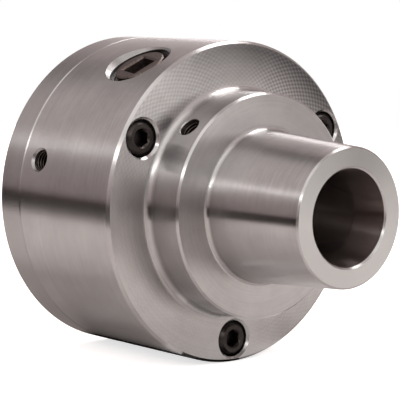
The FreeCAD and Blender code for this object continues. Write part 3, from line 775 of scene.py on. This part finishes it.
def grained_metal(name, tone, roughness, grain, depth):
    """Metal whose tone and gloss vary with a grain of this size and depth in millimetres."""
    metal = bpy.data.materials.new(name)
    metal.use_nodes = True
    tree = metal.node_tree
    shader = tree.nodes["Principled BSDF"]
    shader.inputs["Metallic"].default_value = 1.0
    place = add(tree, "ShaderNodeTexCoord").outputs["Object"]
    point = add(tree, "ShaderNodeVectorMath", {
        0: place, 3: 1 / MM / grain,
    }, operation="SCALE").outputs[0]
    speck = add(tree, "ShaderNodeTexNoise", {"Vector": point, "Scale": 1.0, "Detail": 4.0}).outputs[0]
    shade = add(tree, "ShaderNodeMapRange", {
        "Value": speck, "From Min": NOISE_SPAN[0], "From Max": NOISE_SPAN[1],
    }).outputs[0]
    dark, light = (linear(hex_code) for hex_code in tone)
    colour = add(tree, "ShaderNodeMix", {0: shade, 6: dark, 7: light}, data_type="RGBA").outputs[2]
    # Painted shade in corners, found by ambient occlusion, which also stands for the grime there.
    colour = add(tree, "ShaderNodeVectorMath", {
        0: colour, 3: shade_and_grime_share(tree),
    }, operation="SCALE").outputs[0]
    gloss = add(tree, "ShaderNodeMapRange", {
        "Value": speck, "From Min": NOISE_SPAN[0], "From Max": NOISE_SPAN[1],
        "To Min": roughness - GLOSS_SPREAD, "To Max": roughness + GLOSS_SPREAD,
    }).outputs[0]
    relief = add(tree, "ShaderNodeBump", {
        "Strength": 0.5, "Distance": depth * MM, "Height": speck,
    }).outputs[0]
    for socket, value in (("Base Color", colour), ("Roughness", gloss), ("Normal", relief)):
        tree.links.new(value, shader.inputs[socket])
    return metal


# Magnetite skin: nearly black, satin, with a faint brown cast.
black_oxide = grained_metal("black_oxide_alloy_steel", ("#2F2B2A", "#413C3A"), 0.34, 0.6, 0.010)
# Furnace brown under oil: dark grey, warmer than the ground body, smeared highlights.
gear_steel = grained_metal("hardened_gear_steel_oiled", ("#453C39", "#6C615C"), 0.45, 0.8, 0.015)
# Tapped steel, painted dark and dull: painted shade inside the holes.
thread_painted_dark = grained_metal("tapped_steel_painted_dark", ("#3A3331", "#5C534F"), 0.45, 0.8, 0.010)
# Lapped and polished: nearly a mirror.
bearing_steel = grained_metal("polished_bearing_steel", ("#BDB9B5", "#CDC9C5"), 0.10, 0.5, 0.001)
# Rolled brass sheet: yellow, brushed dull by tumbling.
cage_brass = grained_metal("tumbled_brass_sheet", ("#B08A4A", "#C9A35E"), 0.33, 0.5, 0.006)
print("metals:", [m.name for m in bpy.data.materials if "steel" in m.name or "brass" in m.name])

# %% [markdown]
# ## Dress the solids
#
# A CAD node keeps its own mesh and place, and only its material slot changes. The record's slot
# names say which finish each node has, so the list of nodes is not written again here. Only the
# backplate needs a word of its own, because it is turned and not ground.

# %% Give each node its metal
FINISHES = {
    "ground_steel": body_steel,
    "black_steel": black_oxide,
    "dark_gear_steel": gear_steel,
    "bearing_steel": bearing_steel,
    "cage_brass": cage_brass,
}
slots = {row["node"]: row["material_slot"] for row in frame["record"]["subparts"]}
for name, node in frame["nodes"].items():
    metal = plate_steel if name == "backplate" else FINISHES[slots[name]]
    if not node.data.materials:
        node.data.materials.append(metal)
    for i in range(len(node.data.materials)):
        node.data.materials[i] = metal
print("dressed", len(slots), "nodes with", len(set(slots.values())), "finishes")

# %% [markdown]
# ## Trees that set pieces round a circle
#
# Holes, screws and the ridges on a screw head all sit evenly round a circle. A tree needs its
# inputs by name, the points of the circle, and at its end the two nodes that turn the copies into
# a real mesh with a finish. Both trees below share these three helpers.

# %% Helpers for geometry trees
def tree_with(name, sizes):
    """A geometry tree with these named inputs and one geometry output, and its input sockets."""
    tree = bpy.data.node_groups.new(name, "GeometryNodeTree")
    for size, (kind, value) in sizes.items():
        socket = tree.interface.new_socket(size, in_out="INPUT", socket_type=f"NodeSocket{kind}")
        if value is not None:
            socket.default_value = value
    tree.interface.new_socket("Geometry", in_out="OUTPUT", socket_type="NodeSocketGeometry")
    return tree, tree.nodes.new("NodeGroupInput").outputs


def points_round(tree, count, first, circle, station):
    """Points evenly round X at this station, with their angles and the ways out to them."""
    number = add(tree, "GeometryNodeInputIndex").outputs[0]
    step = add(tree, "ShaderNodeMath", {0: 2 * pi, 1: count}, operation="DIVIDE").outputs[0]
    clock = add(tree, "ShaderNodeMath", {
        0: number, 1: step, 2: first,
    }, operation="MULTIPLY_ADD").outputs[0]
    cosine = add(tree, "ShaderNodeMath", {0: clock}, operation="COSINE").outputs[0]
    sine = add(tree, "ShaderNodeMath", {0: clock}, operation="SINE").outputs[0]
    radial = add(tree, "ShaderNodeCombineXYZ", {1: cosine, 2: sine}).outputs[0]
    reach = add(tree, "ShaderNodeVectorMath", {0: radial, 3: circle}, operation="SCALE").outputs[0]
    forward = add(tree, "ShaderNodeCombineXYZ", {0: station}).outputs[0]
    spot = add(tree, "ShaderNodeVectorMath", {0: reach, 1: forward}, operation="ADD").outputs[0]
    points = add(tree, "GeometryNodePoints", {"Count": count, "Position": spot}).outputs[0]
    return points, clock, radial


def end_tree(tree, copies, finish):
    """Makes the copies real, gives them the finish and ends the tree."""
    real = add(tree, "GeometryNodeRealizeInstances", {0: copies}).outputs[0]
    finished = add(tree, "GeometryNodeSetMaterial", {"Geometry": real, "Material": finish}).outputs[0]
    add(tree, "NodeGroupOutput", {0: finished})
    print(tree.name, "has", len(tree.nodes), "nodes")


# %% [markdown]
# ## Screw threads
#
# A tapped hole shows its thread as fine dark lines. The cutter leaves one ridge that winds round
# the wall like a spring. It could be a bump pattern, but a ridge has an outline that catches light
# at the mouth of the hole. So a Geometry Nodes tree sweeps the ridge's section along a spiral, sets
# one coil at each hole of a circle, and turns it to point the way that the hole runs. The section
# is near the usual one of 60 degrees, with a flat crest of a quarter of the pitch, and its foot
# sits in the wall.

# %% Tree: one coil in each hole of a circle
# Widths of the ridge as shares of the pitch.
RIDGE_FOOT = 0.80
RIDGE_CREST = 0.25
coils, size = tree_with("coil_in_each_hole", {
    "Holes": ("Int", 1), "First Clock": ("Float", 0.0), "Station": ("Float", 0.0),
    "Circle Radius": ("Float", 0.0), "Outwards": ("Float", 0.0), "Forwards": ("Float", 0.0),
    "Wall Radius": ("Float", 0.004), "Ridge Height": ("Float", 0.0005), "Pitch": ("Float", 0.001),
    "Turns": ("Float", 4.0), "Steps": ("Int", 40), "Finish": ("Material", None),
})
rise = add(coils, "ShaderNodeMath", {
    0: size["Pitch"], 1: size["Turns"],
}, operation="MULTIPLY").outputs[0]
foot = add(coils, "ShaderNodeMath", {
    0: size["Pitch"], 1: RIDGE_FOOT,
}, operation="MULTIPLY").outputs[0]
crest = add(coils, "ShaderNodeMath", {
    0: size["Pitch"], 1: RIDGE_CREST,
}, operation="MULTIPLY").outputs[0]
half = add(coils, "ShaderNodeMath", {
    0: size["Ridge Height"], 1: 0.5,
}, operation="MULTIPLY").outputs[0]
middle = add(coils, "ShaderNodeMath", {
    0: size["Wall Radius"], 1: half,
}, operation="SUBTRACT").outputs[0]
path = add(coils, "GeometryNodeCurveSpiral", {
    "Resolution": size["Steps"], "Rotations": size["Turns"], "Start Radius": middle,
    "End Radius": middle, "Height": rise,
}).outputs[0]
steady = add(coils, "GeometryNodeSetCurveNormal", {0: path}, mode="Z_UP").outputs[0]
section = add(coils, "GeometryNodeCurvePrimitiveQuadrilateral", {
    "Height": size["Ridge Height"], "Bottom Width": foot, "Top Width": crest, "Offset": 0.0,
}, mode="TRAPEZOID").outputs[0]
upright = add(coils, "GeometryNodeTransform", {
    "Geometry": section, "Rotation": (0, 0, pi / 2),
}).outputs[0]
ridge = add(coils, "GeometryNodeCurveToMesh", {0: steady, 1: upright, "Fill Caps": True}).outputs[0]
points, _, radial = points_round(
    coils, size["Holes"], size["First Clock"], size["Circle Radius"], size["Station"],
)
sideways = add(coils, "ShaderNodeVectorMath", {
    0: radial, 3: size["Outwards"],
}, operation="SCALE").outputs[0]
lengthways = add(coils, "ShaderNodeCombineXYZ", {0: size["Forwards"]}).outputs[0]
heading = add(coils, "ShaderNodeVectorMath", {0: sideways, 1: lengthways}, operation="ADD").outputs[0]
facing = add(coils, "FunctionNodeAlignRotationToVector", {"Vector": heading}, axis="Z").outputs[0]
placed = add(coils, "GeometryNodeInstanceOnPoints", {
    "Points": points, "Instance": ridge, "Rotation": facing,
})
end_tree(coils, placed.outputs[0], size["Finish"])

# %% [markdown]
# ## From tree to mesh
#
# The tree runs once on an empty object with the sizes of one set of holes. The evaluated result is
# copied to a plain mesh and the modifier goes, so that nothing later depends on it. Each set rides
# on the body whose holes it fills.

# %% Helper: run a tree and keep the mesh
def grown(name, tree, sizes, body):
    """Runs the tree with these sizes and keeps the result as a plain mesh that rides on the body."""
    piece = bpy.data.objects.new(name, bpy.data.meshes.new(name + "_start"))
    bpy.context.scene.collection.objects.link(piece)
    modifier = piece.modifiers.new(name, "NODES")
    modifier.node_group = tree
    for item in tree.interface.items_tree:
        if item.in_out == "INPUT" and item.name in sizes:
            modifier[item.identifier] = sizes[item.name]
    result = piece.evaluated_get(bpy.context.evaluated_depsgraph_get())
    mesh = bpy.data.meshes.new_from_object(result)
    mesh.name = name
    piece.modifiers.clear()
    piece.data = mesh
    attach(piece, body)
    mesh.calc_loop_triangles()
    print(name, "triangles", len(mesh.loop_triangles), "rides", body)


# %% [markdown]
# ## Threads of the side holes
#
# Four radial M8 holes take the screws that centre the body on the backplate's spigot, and a fifth in
# the boss takes the screw that keys the collet. All have the M8 coarse pitch of 1.25 mm, so they
# share the sizes of their ridge and differ in place and length.

# %% Side hole threads
M8_COIL = {
    "Outwards": 1.0, "Wall Radius": 4.05 * MM, "Ridge Height": 0.6 * MM, "Pitch": 1.25 * MM,
    "Finish": thread_painted_dark,
}
# Place along X and radius at which the thread starts, both in mm, and angle about X.
ADJUSTER_X, ADJUSTER_FOOT, ADJUSTER_CLOCK = 22.8, 57.0, radians(75)
KEY_SCREW_X, KEY_SCREW_FOOT, KEY_SCREW_CLOCK = 76.5, 36.7, radians(134.3)
grown("adjusting_hole_threads", coils, {
    **M8_COIL, "Holes": 4, "First Clock": ADJUSTER_CLOCK, "Station": ADJUSTER_X * MM,
    "Circle Radius": ADJUSTER_FOOT * MM, "Turns": 3.4,
}, "chuck")
grown("key_screw_hole_thread", coils, {
    **M8_COIL, "Holes": 1, "First Clock": KEY_SCREW_CLOCK, "Station": KEY_SCREW_X * MM,
    "Circle Radius": KEY_SCREW_FOOT * MM, "Turns": 4.3,
}, "chuck")

# %% [markdown]
# ## Threads at the rear and in the draw nut
#
# The cam-lock studs screw into three M10 x 1 holes in the rear face. The draw nut's thread is the
# collet's own: 20 turns to the inch, right through the hub, and it turns with the nut.

# %% Stud hole and draw nut threads
# Place along X where the stud threads start, radius of their circle, and how far behind the nut's
# front its thread starts, in mm.
STUD_X, STUD_CIRCLE = 11.4, 41.275
NUT_THREAD_REACH = 17.0
grown("stud_hole_threads", coils, {
    "Holes": 3, "First Clock": radians(90), "Station": STUD_X * MM, "Circle Radius": STUD_CIRCLE * MM,
    "Forwards": -1.0, "Wall Radius": 5.0 * MM, "Ridge Height": 0.45 * MM, "Pitch": 1.0 * MM,
    "Turns": 10.0, "Finish": plate_steel,
}, "chuck")
nut_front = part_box("draw_nut")[1].x
grown("draw_nut_collet_thread", coils, {
    "Station": nut_front - NUT_THREAD_REACH * MM, "Forwards": 1.0, "Wall Radius": 15.4 * MM,
    "Ridge Height": 0.35 * MM, "Pitch": 1.27 * MM, "Turns": 12.2, "Steps": 96, "Finish": gear_steel,
}, "draw_nut_body")

# %% [markdown]
# ## Knurled screw heads
#
# Socket head screws have straight knurling round the head, for turning them in by hand. Each ridge
# is a slim bar laid on its edge. The tree puts bars round one head and then the whole ring on each
# screw of the circle, which is quicker to change than modelling one head and copying it.

# %% Tree: ridges round each head
knurls, size = tree_with("ridges_round_each_head", {
    "Heads": ("Int", 3), "First Clock": ("Float", 0.0), "Circle Radius": ("Float", 0.05),
    "Station": ("Float", 0.0), "Ridges": ("Int", 44), "Head Radius": ("Float", 0.0065),
    "Ridge Width": ("Float", 0.0003), "Ridge Length": ("Float", 0.006), "Finish": ("Material", None),
})
bar_size = add(knurls, "ShaderNodeCombineXYZ", {
    0: size["Ridge Length"], 1: size["Ridge Width"], 2: size["Ridge Width"],
}).outputs[0]
bar = add(knurls, "GeometryNodeMeshCube", {"Size": bar_size}).outputs[0]
on_edge = add(knurls, "GeometryNodeTransform", {
    "Geometry": bar, "Rotation": (pi / 4, 0, 0),
}).outputs[0]
copies = on_edge
for count, first, circle, station in (
    (size["Ridges"], 0.0, size["Head Radius"], 0.0),
    (size["Heads"], size["First Clock"], size["Circle Radius"], size["Station"]),
):
    points, clock, _ = points_round(knurls, count, first, circle, station)
    turn = add(knurls, "FunctionNodeAxisAngleToRotation", {
        "Axis": (1, 0, 0), "Angle": clock,
    }).outputs[0]
    copies = add(knurls, "GeometryNodeInstanceOnPoints", {
        "Points": points, "Instance": copies, "Rotation": turn,
    }).outputs[0]
end_tree(knurls, copies, size["Finish"])

# %% Clamp screw knurling
# Radius of the screws' circle and sizes of the head along X, in mm.
CLAMP_CIRCLE = 53.5
HEAD_HEIGHT = 8.0
HEAD_BEVEL = 1.2
PLAIN_FOOT = 0.5
KNURL_LENGTH = HEAD_HEIGHT - HEAD_BEVEL - PLAIN_FOOT
head_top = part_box("clamp_screw_1")[1].x
grown("clamp_screw_knurling", knurls, {
    "Heads": 3, "First Clock": radians(30), "Circle Radius": CLAMP_CIRCLE * MM,
    "Station": head_top - (HEAD_BEVEL + KNURL_LENGTH / 2) * MM,
    "Ridges": 44, "Head Radius": 6.48 * MM, "Ridge Width": 0.26 * MM,
    "Ridge Length": KNURL_LENGTH * MM, "Finish": black_oxide,
}, "chuck")

# %% [markdown]
# ## Measure and finish
#
# The box of the CAD solids is printed in millimetres.

# %% Print the CAD box
print("CAD box", [[round(v / MM, 2) for v in c] for c in cad_box])
